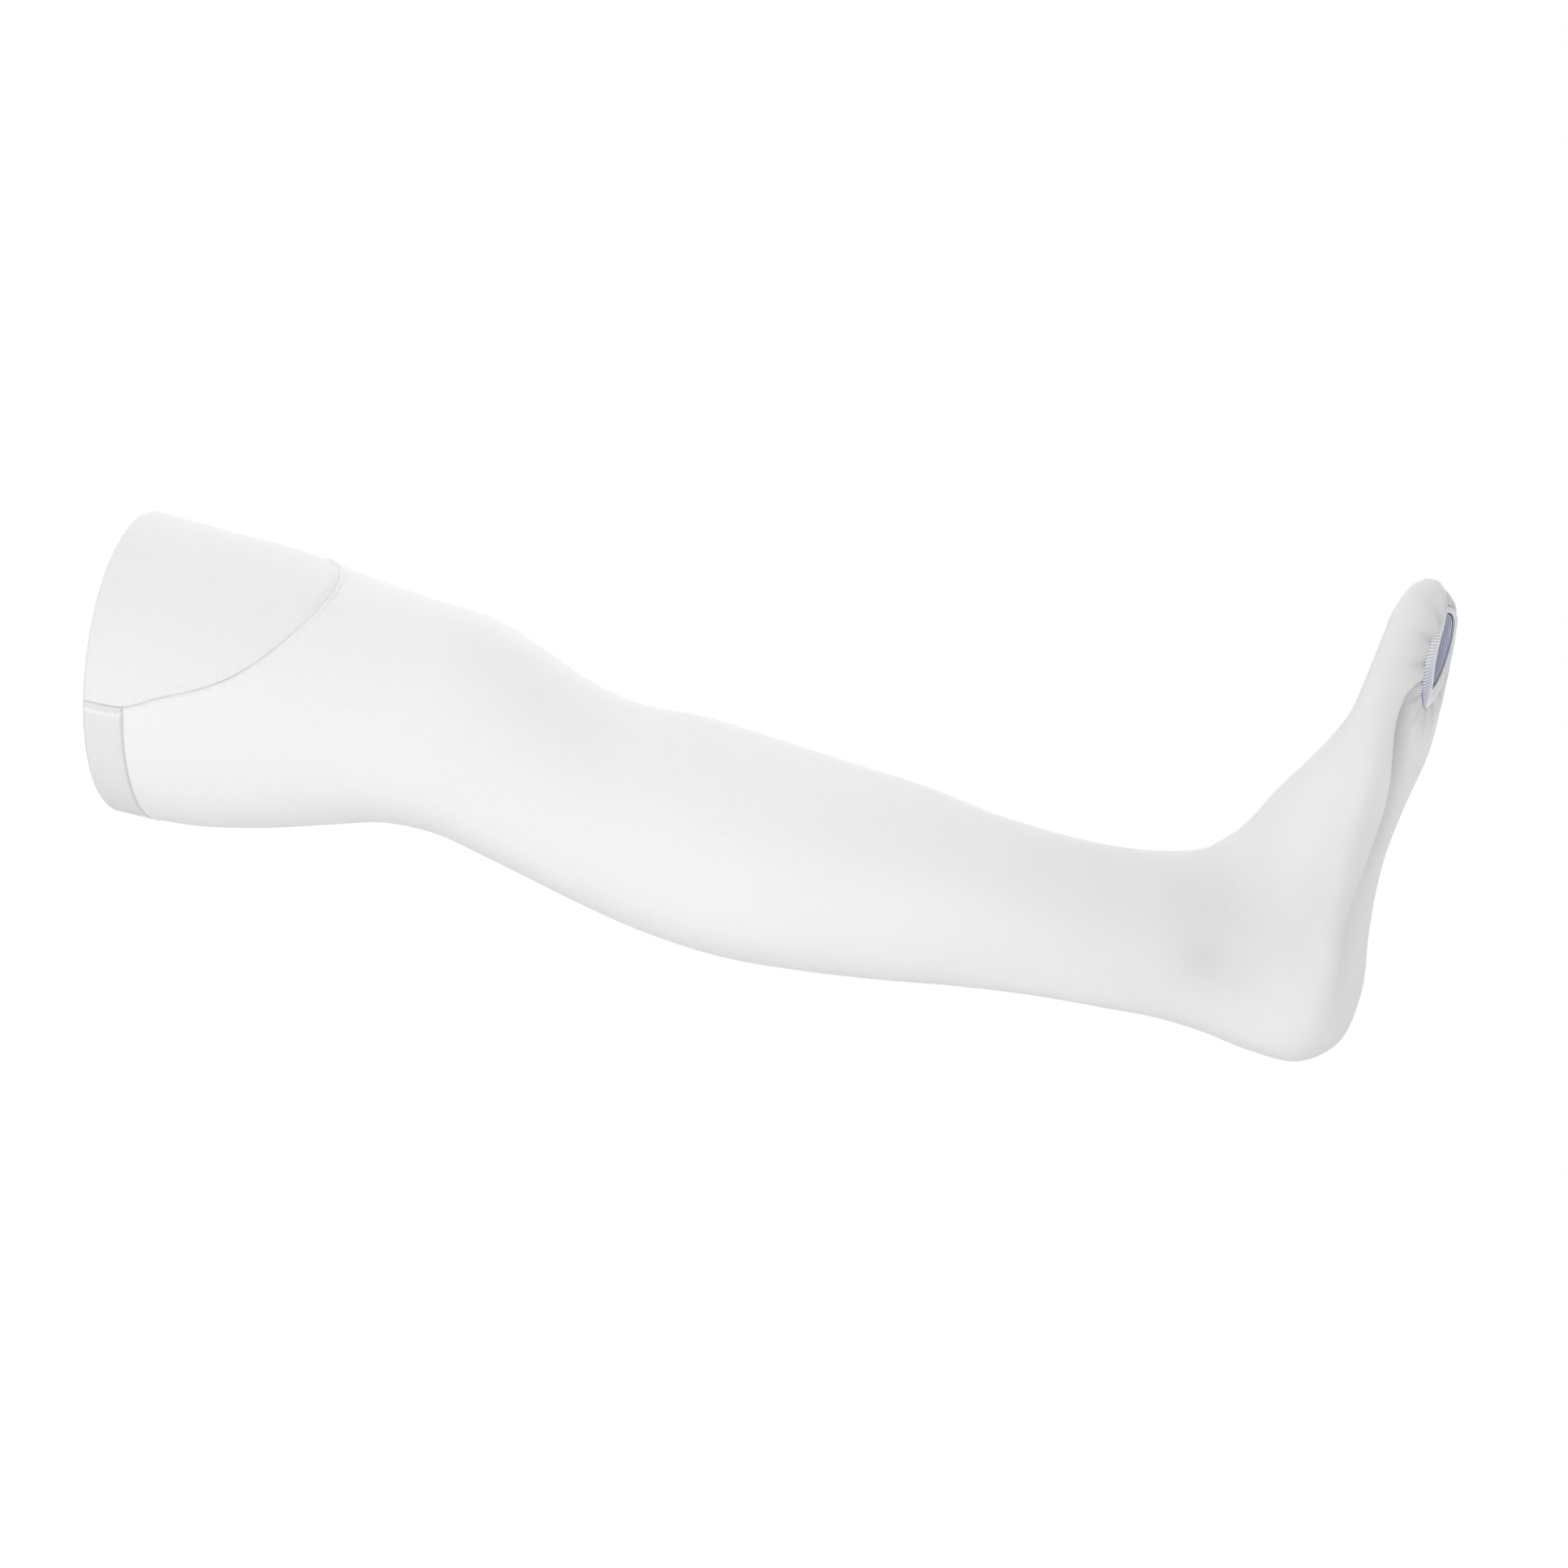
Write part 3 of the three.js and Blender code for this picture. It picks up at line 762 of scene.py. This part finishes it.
def leg_cloth():
    """The tube of knit from the band to the toes, open along the tongue and at the inspection opening."""
    top = BAND_WIDTH + SEAM_CLEARANCE
    foot = STATION_OF["ankle_bones"]
    near_band = top + np.array(EDGE_COLUMNS[:-3])
    tongue = top + (TONGUE_TIP - top) * np.sin(np.linspace(0, math.pi / 2, TONGUE_RINGS + 1))
    leg = np.linspace(TONGUE_TIP, foot, LEG_RINGS + 1)[1:]
    toes = np.linspace(foot, STATIONS[-1], FOOT_RINGS + 1)[1:]
    cap = STATIONS[-1] + TOE_CAP * np.linspace(0, 1, CAP_RINGS + 2)[1:-1]
    depths = np.concatenate([near_band, tongue[tongue > near_band[-1] + RING_GAP], leg, toes, cap])
    half = tongue_half(depths)
    blend = np.clip((depths - EVEN_START) / EVEN_BLEND, 0, 1)
    angles = spread_columns(TONGUE_ANGLE + half, TONGUE_ANGLE + 360 - half, LEG_COLUMNS, blend)
    cloth = Cloth()
    index = cloth.add_points(np.repeat(depths[:, None], LEG_COLUMNS + 1, 1), angles)
    closed = depths >= TONGUE_TIP
    index[closed, -1] = index[closed, 0]

    # Round the inspection opening the rows and columns give way to rings that end on the hem's outline
    first_row, last_row, first_column, last_column = patch_span(depths, angles)
    quads = grid_quads(index)
    row, column = np.divmod(np.arange(len(quads)), LEG_COLUMNS)
    in_patch = (row >= first_row) & (row < last_row) & (column >= first_column) & (column < last_column)
    cloth.add_faces(quads[~in_patch], grid_quads(angles)[~in_patch])
    loop = [(first_row, c) for c in range(first_column, last_column)]
    loop += [(r, last_column) for r in range(first_row, last_row)]
    loop += [(last_row, c) for c in range(last_column, first_column, -1)]
    loop += [(r, first_column) for r in range(last_row, first_row, -1)]
    add_opening_rings(cloth, index[tuple(np.array(loop).T)])

    # The toe's last ring closes on its pole
    cloth.pole = cloth.add_points(STATIONS[-1:] + TOE_CAP, np.array([180.0]))[0]
    pole = np.full(LEG_COLUMNS, cloth.pole)
    fan = np.stack([index[-1, :-1], index[-1, 1:], pole, pole], -1)
    before = angles[-1, :-1]
    after = angles[-1, 1:]
    cloth.add_faces(fan, np.stack([before, after, after, after], -1))
    return cloth


def leg_piece(material):
    """The knit of the leg and foot, with its seams and folds, and painted shade round the ankle, crease and
    hem.
    """
    cloth = leg_cloth()
    points, _ = cloth.points()
    distance, along = seam_distance(points, cloth.depth)
    from_band = cloth.depth - (BAND_WIDTH + SEAM_CLEARANCE)
    height = rolled_edge(distance, tongue_roll(along)) + puckers(distance, along)
    crease = footprint_crease(points)
    height += rolled_edge(from_band, BAND_SEAM_ROLL) + opening_relief(points) + crease
    # Painted shade round the ankle, in the crease and at the hem's folds, the same on the outside and the
    # inside
    painted_shares = painted_knit_shade(points, crease)
    darker = np.concatenate([painted_shares, painted_shares])
    piece = cloth_object("leg_knit_cloth", cloth, height, KNIT_WALL, material, darker)
    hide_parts("leg_knit")


def gusset_piece(material):
    """The tongue-shaped panel of the thigh."""
    tip = TONGUE_TIP - 2 * SEAM_CLEARANCE
    below = EDGE_COLUMNS[-1] + (tip - EDGE_COLUMNS[-1]) * np.sin(np.linspace(0, math.pi / 2, GUSSET_RINGS))
    depths = np.concatenate([EDGE_COLUMNS[:-1], below])
    half = np.maximum(1, tongue_half(depths + SEAM_CLEARANCE) - np.degrees(SEAM_CLEARANCE / THIGH_RADIUS))
    angles = spread_columns(TONGUE_ANGLE - half, TONGUE_ANGLE + half, GUSSET_COLUMNS, 0 * half)
    cloth = Cloth()
    index = cloth.add_points(np.repeat(depths[:, None], GUSSET_COLUMNS + 1, 1), angles)
    cloth.add_faces(grid_quads(index), grid_quads(angles))
    points, _ = cloth.points()
    distance, along = seam_distance(points, cloth.depth)
    height = rolled_edge(distance, tongue_roll(along), GUSSET_RIDGE_SHARE * SEAM_RIDGE)
    height += puckers(distance, along)
    second_row = np.exp(-(((distance - TIP_ROW_PLACE) / TIP_ROW_REACH) ** 2))
    height -= TIP_ROW_DEPTH * second_row * tip_share(along)
    from_tip = np.linalg.norm(points - SEAM_POINTS[SEAM_TIP], axis=1)
    inside_seam = 1 - np.exp(-((distance / TIP_RISE_START) ** 2))
    height += TIP_RISE * np.exp(-((from_tip / TIP_RISE_REACH) ** 2)) * inside_seam
    height -= EDGE_ROLL * np.exp(-((cloth.depth / EDGE_ROLL_REACH) ** 2))
    piece = cloth_object("thigh_gusset_cloth", cloth, height, KNIT_WALL, material)
    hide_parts("thigh_gusset")


def band_piece(material):
    """The band round the top of the thigh, with its two turned ends at the gusset."""
    edge = np.array(EDGE_COLUMNS)[:-1]
    middle = np.linspace(edge[-1], BAND_WIDTH - edge[-1], BAND_RINGS)[1:-1]
    depths = np.concatenate([edge, middle, BAND_WIDTH - edge[::-1]])
    half = tongue_half(depths)
    angles = spread_columns(TONGUE_ANGLE + half, TONGUE_ANGLE + 360 - half, BAND_COLUMNS, 0 * half)
    cloth = Cloth()
    index = cloth.add_points(np.repeat(depths[:, None], BAND_COLUMNS + 1, 1), angles)
    cloth.add_faces(grid_quads(index), grid_quads(angles))
    from_start = np.radians(angles - angles[:, :1]).ravel() * THIGH_RADIUS
    from_end = np.radians(angles[:, -1:] - angles).ravel() * THIGH_RADIUS
    from_ends = np.minimum(from_start, from_end)
    height = PROUD + rolled_edge(BAND_WIDTH - cloth.depth, BAND_SEAM_ROLL, BAND_RIDGE_SHARE * SEAM_RIDGE)
    for place in BAND_END_GROOVES:
        height -= BAND_END_DEPTH * np.exp(-(((from_ends - place) / BAND_END_REACH) ** 2))
    turning = np.clip((from_ends - TURNING_START) / TURNING_BLEND, 0, 1)
    turning *= np.clip((TURNING_END - from_ends) / TURNING_BLEND, 0, 1)
    height += TURNING_RISE * turning
    height -= EDGE_ROLL * np.exp(-((cloth.depth / EDGE_ROLL_REACH) ** 2))
    lighter = np.concatenate([turning, 0 * turning])
    piece = cloth_object("thigh_band_cloth", cloth, height, BAND_WALL, material, lighter)
    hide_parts("thigh_band")


def hem_lift(bearing):
    """How far the inner side of the opening's edge stands out of the sole."""
    return HEM_LIFT * np.maximum(0, np.cos(bearing - HEM_LIFT_BEARING))


def hem_piece(material, facing):
    """The ribbed hem between the knit and the opening's edge."""
    around = np.linspace(0, 2 * math.pi, HEM_RIBS * HEM_STEPS, endpoint=False)
    shares = np.linspace(0, 1, HEM_RINGS + 1)
    outer_y, outer_z = ellipse(HEM, around)
    inner_y, inner_z = ellipse(OPENING, around)
    cloth = Cloth()
    rows = []
    for share in shares:
        y = outer_y * (1 - share) + inner_y * share
        z = outer_z * (1 - share) + inner_z * share
        rows.append(cloth.add_points(*sole_at(y, z)))
    index = np.stack(rows)
    quads = grid_quads(np.concatenate([index, index[:, :1]], 1))
    cloth.add_faces(quads, np.zeros(quads.shape))
    inward = np.repeat(shares, len(around))
    bearing = np.tile(around, len(shares))
    rib = 0.5 + 0.5 * np.cos(HEM_RIBS * bearing)
    swell = np.sin(math.pi * inward) ** HEM_SWELL_POWER
    height = PROUD + HEM_ROLL * swell + HEM_RIB_HEIGHT * (rib - 0.5) * swell + hem_lift(bearing) * inward
    facing_blue = np.maximum(0, np.cos(bearing - HEM_BLUE_BEARING)) ** HEM_BLUE_POWER
    blue = HEM_BLUE_LEAST + (1 - HEM_BLUE_LEAST) * facing_blue
    tint = np.concatenate([(1 - rib) * blue, np.ones(len(rib))])
    piece = cloth_object("toe_hem_cloth", cloth, height, HEM_WALL, material, tint)
    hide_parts("toe_hem")


def opening_path(bearing, margin, rise):
    """A closed path round the opening's edge, and the directions across it and out of the sole."""
    depth, angle = sole_at(*ellipse(OPENING, bearing, margin))
    upward = outward_at(depth, angle)
    path = surface(depth, angle) + upward * (hem_lift(bearing) + rise)[:, None]
    along = unit(np.roll(path, -1, 0) - np.roll(path, 1, 0))
    return path, unit(np.cross(along, upward)), upward


def hem_facing(material):
    """The strip that is turned in round the opening, inside the bound edge."""
    bearing = np.linspace(0, 2 * math.pi, FACING_SAMPLES, endpoint=False)
    rise = -FACING_TOP - FACING_DEPTH / 2
    path, across, upward = opening_path(bearing, -FACING_INSET, rise)
    across = across * FACING_WALL / 2
    upward = upward * FACING_DEPTH / 2
    points, quads = tube(path, across, upward, 1, FACING_SIDES, True)
    return make_object("toe_hem_facing", points, quads, material)


def edge_cord(material):
    """The twisted yarn that binds the edge of the inspection opening."""
    bearing = np.linspace(0, 2 * math.pi, CORD_TWISTS * CORD_STEPS, endpoint=False)
    path, across, upward = opening_path(bearing, CORD_MARGIN, PROUD + CORD_RISE)
    turn = np.linspace(0, 2 * math.pi, CORD_SIDES, endpoint=False)[None]
    strands = CORD_STRAND * np.cos(2 * turn + CORD_TWISTS * bearing[:, None])
    points, quads = tube(path, across, upward, CORD_RADIUS * (CORD_ROUND + strands), CORD_SIDES, True)
    make_object("toe_hem_cord", points, quads, material)


def stitch_row(name, path, upward, material):
    """A row of short stitches along a path, each one sunk into the cloth at its two ends."""
    length = lengths_along(path)
    starts = np.arange(0.5 * STITCH_PITCH, length[-1] - STITCH_LENGTH, STITCH_PITCH)
    all_points = []
    all_quads = []
    sweep = np.linspace(0, 1, STITCH_STEPS + 1)
    for number, start in enumerate(starts):
        at = start + STITCH_LENGTH * sweep
        line = np.stack([np.interp(at, length, path[:, k]) for k in range(3)], -1)
        up = unit(np.stack([np.interp(at, length, upward[:, k]) for k in range(3)], -1))
        arch = STITCH_RADIUS * (STITCH_ARCH * np.sin(math.pi * sweep) - STITCH_SINK)
        line = line + up * arch[:, None]
        ahead = unit(np.gradient(line, axis=0))
        across = unit(np.cross(ahead, up))
        points, quads = tube(line, across, unit(np.cross(across, ahead)), STITCH_RADIUS, STITCH_SIDES, False)
        all_quads.append(quads + len(points) * number)
        all_points.append(points)
    make_object(name, np.concatenate(all_points), np.concatenate(all_quads), material)


def seam_stitches(material):
    """Stitches on the ridge beside the tongue's seam, and beside the band's lower edge."""
    below = SEAM_DEPTH > BAND_WIDTH + STITCH_BAND_GAP
    depth = SEAM_DEPTH[below]
    angle = SEAM_ANGLE[below]
    path = surface(depth, angle)
    upward = outward_at(depth, angle)
    ahead = unit(np.gradient(path, axis=0))
    aside = unit(np.cross(ahead, upward))
    lift = SEAM_RIDGE * STITCH_LIFT
    stitch_row("gusset_stitches", path + aside * SEAM_RIDGE_PLACE + upward * lift, upward, material)
    clear = tongue_half(np.array(BAND_WIDTH)) + STITCH_END_ANGLE
    angle = np.linspace(TONGUE_ANGLE + clear, TONGUE_ANGLE + 360 - clear, BAND_STITCH_SAMPLES)
    depth = np.full(BAND_STITCH_SAMPLES, BAND_WIDTH + SEAM_CLEARANCE + SEAM_RIDGE_PLACE)
    upward = outward_at(depth, angle)
    stitch_row("band_stitches", surface(depth, angle) + upward * lift, upward, material)


# Materials


class Nodes:
    """Short ways to chain a material's nodes."""

    def __init__(self, name):
        self.material = bpy.data.materials.new(name)
        self.material.use_nodes = True
        self.tree = self.material.node_tree
        self.shader = self.tree.nodes["Principled BSDF"]

    def new(self, kind, **settings):
        node = self.tree.nodes.new(kind)
        for key, value in settings.items():
            setattr(node, key, value)
        return node

    def feed(self, socket, value):
        if isinstance(value, bpy.types.NodeSocket):
            self.tree.links.new(value, socket)
        else:
            socket.default_value = value

    def math(self, operation, *values):
        node = self.new("ShaderNodeMath", operation=operation)
        for socket, value in zip(node.inputs, values):
            self.feed(socket, value)
        return node.outputs[0]

    def mix(self, share, first, second):
        node = self.new("ShaderNodeMix", data_type="RGBA")
        share_socket, first_socket, second_socket = [socket for socket in node.inputs if socket.enabled]
        self.feed(share_socket, share)
        self.feed(first_socket, first)
        self.feed(second_socket, second)
        return next(socket for socket in node.outputs if socket.enabled)

    def knit(self, wales, courses):
        """Heights of plain knitting: columns of V-shaped stitches, from 0 between the yarns to 1 on them."""
        split = self.new("ShaderNodeSeparateXYZ")
        self.feed(split.inputs[0], self.new("ShaderNodeUVMap", uv_map=KNIT_UV).outputs[0])
        column = self.math("MULTIPLY", split.outputs[0], wales)
        row = self.math("MULTIPLY", split.outputs[1], courses)
        aside = self.math("ABSOLUTE", self.math("SUBTRACT", self.math("FRACT", column), 0.5))
        slant = self.math("FRACT", self.math("ADD", row, self.math("MULTIPLY", aside, KNIT_SLANT)))
        leg = self.math("SINE", self.math("MULTIPLY", aside, 2 * math.pi))
        yarn = self.math("SINE", self.math("MULTIPLY", slant, math.pi))
        return self.math("MULTIPLY", leg, self.math("MULTIPLY_ADD", yarn, YARN_ROUND, 1 - YARN_ROUND))

    def noise(self, scale):
        place = self.new("ShaderNodeTexCoord").outputs["Object"]
        node = self.new("ShaderNodeTexNoise")
        self.feed(node.inputs["Vector"], place)
        node.inputs["Scale"].default_value = scale
        node.inputs["Detail"].default_value = NOISE_DETAIL
        return node.outputs[0]

    def bump(self, height, distance, strength):
        node = self.new("ShaderNodeBump")
        node.inputs["Strength"].default_value = strength
        node.inputs["Distance"].default_value = distance * MM
        self.feed(node.inputs["Height"], height)
        self.feed(self.shader.inputs["Normal"], node.outputs[0])

    def finish(self, colour, roughness, sheen):
        self.feed(self.shader.inputs["Base Color"], colour)
        self.shader.inputs["Roughness"].default_value = roughness
        self.shader.inputs["Specular IOR Level"].default_value = SPECULAR
        self.shader.inputs["Sheen Weight"].default_value = sheen
        self.shader.inputs["Sheen Roughness"].default_value = SHEEN_ROUGHNESS
        return self.material


def knit_material(name, yarn, gap, wales, course, tint=None):
    """White knitting with a little unevenness. A tint colours the points that the mask marks."""
    nodes = Nodes(name)
    height = nodes.knit(wales, 1 / (course * MM))
    stitches = nodes.math("MULTIPLY", height, 1 - KNIT_MOTTLE)
    uneven = nodes.math("MULTIPLY_ADD", nodes.noise(KNIT_NOISE), KNIT_MOTTLE, stitches)
    colour = nodes.mix(uneven, (*gap, 1), (*yarn, 1))
    if tint is not None:
        mask = nodes.new("ShaderNodeAttribute", attribute_name=MASK).outputs["Fac"]
        colour = nodes.mix(mask, colour, (*tint, 1))
    nodes.bump(height, *KNIT_BUMP)
    return nodes.finish(colour, CLOTH_ROUGHNESS, CLOTH_SHEEN)


def hem_material():
    """White ribs, with flecked blue yarn where the mask marks it."""
    nodes = Nodes("hem_rib_knit")
    mask = nodes.new("ShaderNodeAttribute", attribute_name=MASK).outputs["Fac"]
    fleck = nodes.math("MULTIPLY_ADD", nodes.noise(HEM_NOISE), HEM_FLECK, HEM_FLECK_LEAST)
    share = nodes.math("MULTIPLY", mask, fleck)
    colour = nodes.mix(share, (*HEM_WHITE, 1), (*HEM_BLUE, 1))
    nodes.bump(nodes.noise(HEM_BUMP_NOISE), *HEM_BUMP)
    return nodes.finish(colour, CLOTH_ROUGHNESS, CLOTH_SHEEN)


def facing_material():
    """Blue-violet knit with streaks that run along the edge of the opening."""
    nodes = Nodes("facing_knit")
    split = nodes.new("ShaderNodeSeparateXYZ")
    nodes.feed(split.inputs[0], nodes.new("ShaderNodeTexCoord").outputs["Object"])
    wander = nodes.math("MULTIPLY", nodes.noise(FACING_NOISE), FACING_WANDER)
    place = nodes.math("MULTIPLY_ADD", split.outputs[0], 1 / (FACING_STRIPE * MM), wander)
    wave = nodes.math("SINE", nodes.math("MULTIPLY", place, 2 * math.pi))
    stripe = nodes.math("MULTIPLY_ADD", wave, 0.5, 0.5)
    colour = nodes.mix(stripe, (*FACING_DARK, 1), (*FACING_LIGHT, 1))
    nodes.bump(stripe, *FACING_BUMP)
    return nodes.finish(colour, CLOTH_ROUGHNESS, CLOTH_SHEEN)


def thread_material():
    """White thread with fine strands."""
    nodes = Nodes("sewing_thread")
    strand = nodes.noise(THREAD_NOISE)
    colour = nodes.mix(strand, (*THREAD_DARK, 1), (*THREAD_LIGHT, 1))
    nodes.bump(strand, *THREAD_BUMP)
    return nodes.finish(colour, THREAD_ROUGHNESS, THREAD_SHEEN)


# The leg's tint is painted shade round the ankle, in the sole's crease and between the folds at the hem
knit_cloth = knit_material("leg_knit_white", KNIT_YARN, KNIT_GAP, WALES, COURSE, PAINTED_SHADE_TINT)
gusset_cloth = knit_material("gusset_knit_white", GUSSET_YARN, GUSSET_GAP, GUSSET_WALES, GUSSET_COURSE)
band_cloth = knit_material("band_knit_white", BAND_YARN, BAND_GAP, BAND_WALES, BAND_COURSE, TURNING_TINT)
thread = thread_material()
leg_piece(knit_cloth)
gusset_piece(gusset_cloth)
band_piece(band_cloth)
hem_piece(hem_material(), hem_facing(facing_material()))
edge_cord(thread)
seam_stitches(thread)


# Stage, light and camera


azimuth = math.radians(CAMERA_AZIMUTH)
roll = math.radians(CAMERA_ROLL)
back = Vector((math.sin(azimuth), -math.cos(azimuth), 0))
level = Vector((math.cos(azimuth), math.sin(azimuth), 0))
right = level * math.cos(roll) + Vector((0, 0, 1)) * math.sin(roll)
up = level * -math.sin(roll) + Vector((0, 0, 1)) * math.cos(roll)
camera_data = bpy.data.cameras.new("camera")
camera_data.lens = CAMERA_LENS
camera_data.sensor_width = CAMERA_SENSOR
camera_data.clip_end = CAMERA_FAR
camera = bpy.data.objects.new("camera", camera_data)
camera_turn = Matrix((right, up, back)).transposed().to_4x4()
camera.matrix_world = Matrix.Translation(Vector(CAMERA_EYE) * MM) @ camera_turn
bpy.context.scene.collection.objects.link(camera)
bpy.context.scene.camera = camera

middle = Vector(MIDDLE)
for name, (to_right, upward, to_camera, distance, size, power) in LIGHTS.items():
    data = bpy.data.lights.new(name, "AREA")
    data.energy = power
    data.shape = "SQUARE"
    data.size = size
    light = bpy.data.objects.new(name, data)
    way = (right * to_right + up * upward + back * to_camera).normalized()
    light.location = middle + way * distance
    light.rotation_euler = way.to_track_quat("Z", "Y").to_euler()
    light.visible_camera = False
    bpy.context.scene.collection.objects.link(light)

# The surroundings look white, and light the part less than the lamps do
world = bpy.data.worlds.new("studio")
world.use_nodes = True
backdrop = world.node_tree.nodes["Background"]
backdrop.inputs["Color"].default_value = (1, 1, 1, 1)
seen = world.node_tree.nodes.new("ShaderNodeLightPath")
strength = world.node_tree.nodes.new("ShaderNodeMath")
strength.operation = "MULTIPLY_ADD"
strength.inputs[1].default_value = 1 - AMBIENT
strength.inputs[2].default_value = AMBIENT
world.node_tree.links.new(seen.outputs["Is Camera Ray"], strength.inputs[0])
world.node_tree.links.new(strength.outputs[0], backdrop.inputs["Strength"])
bpy.context.scene.world = world
bpy.context.scene.view_settings.view_transform = "Standard"

floor_mesh = bpy.data.meshes.new("floor")
turns = np.linspace(0, 2 * math.pi, FLOOR_SIDES, endpoint=False)
rim = [(middle.x + FLOOR_RADIUS * math.cos(t), FLOOR_RADIUS * math.sin(t), FLOOR_HEIGHT) for t in turns]
floor_mesh.from_pydata(rim, [], [list(range(FLOOR_SIDES))])
floor = bpy.data.objects.new("floor", floor_mesh)
bpy.context.scene.collection.objects.link(floor)
floor_nodes = Nodes("pale_floor")
floor_mesh.materials.append(floor_nodes.finish((*FLOOR_COLOUR, 1), FLOOR_ROUGHNESS, 0))
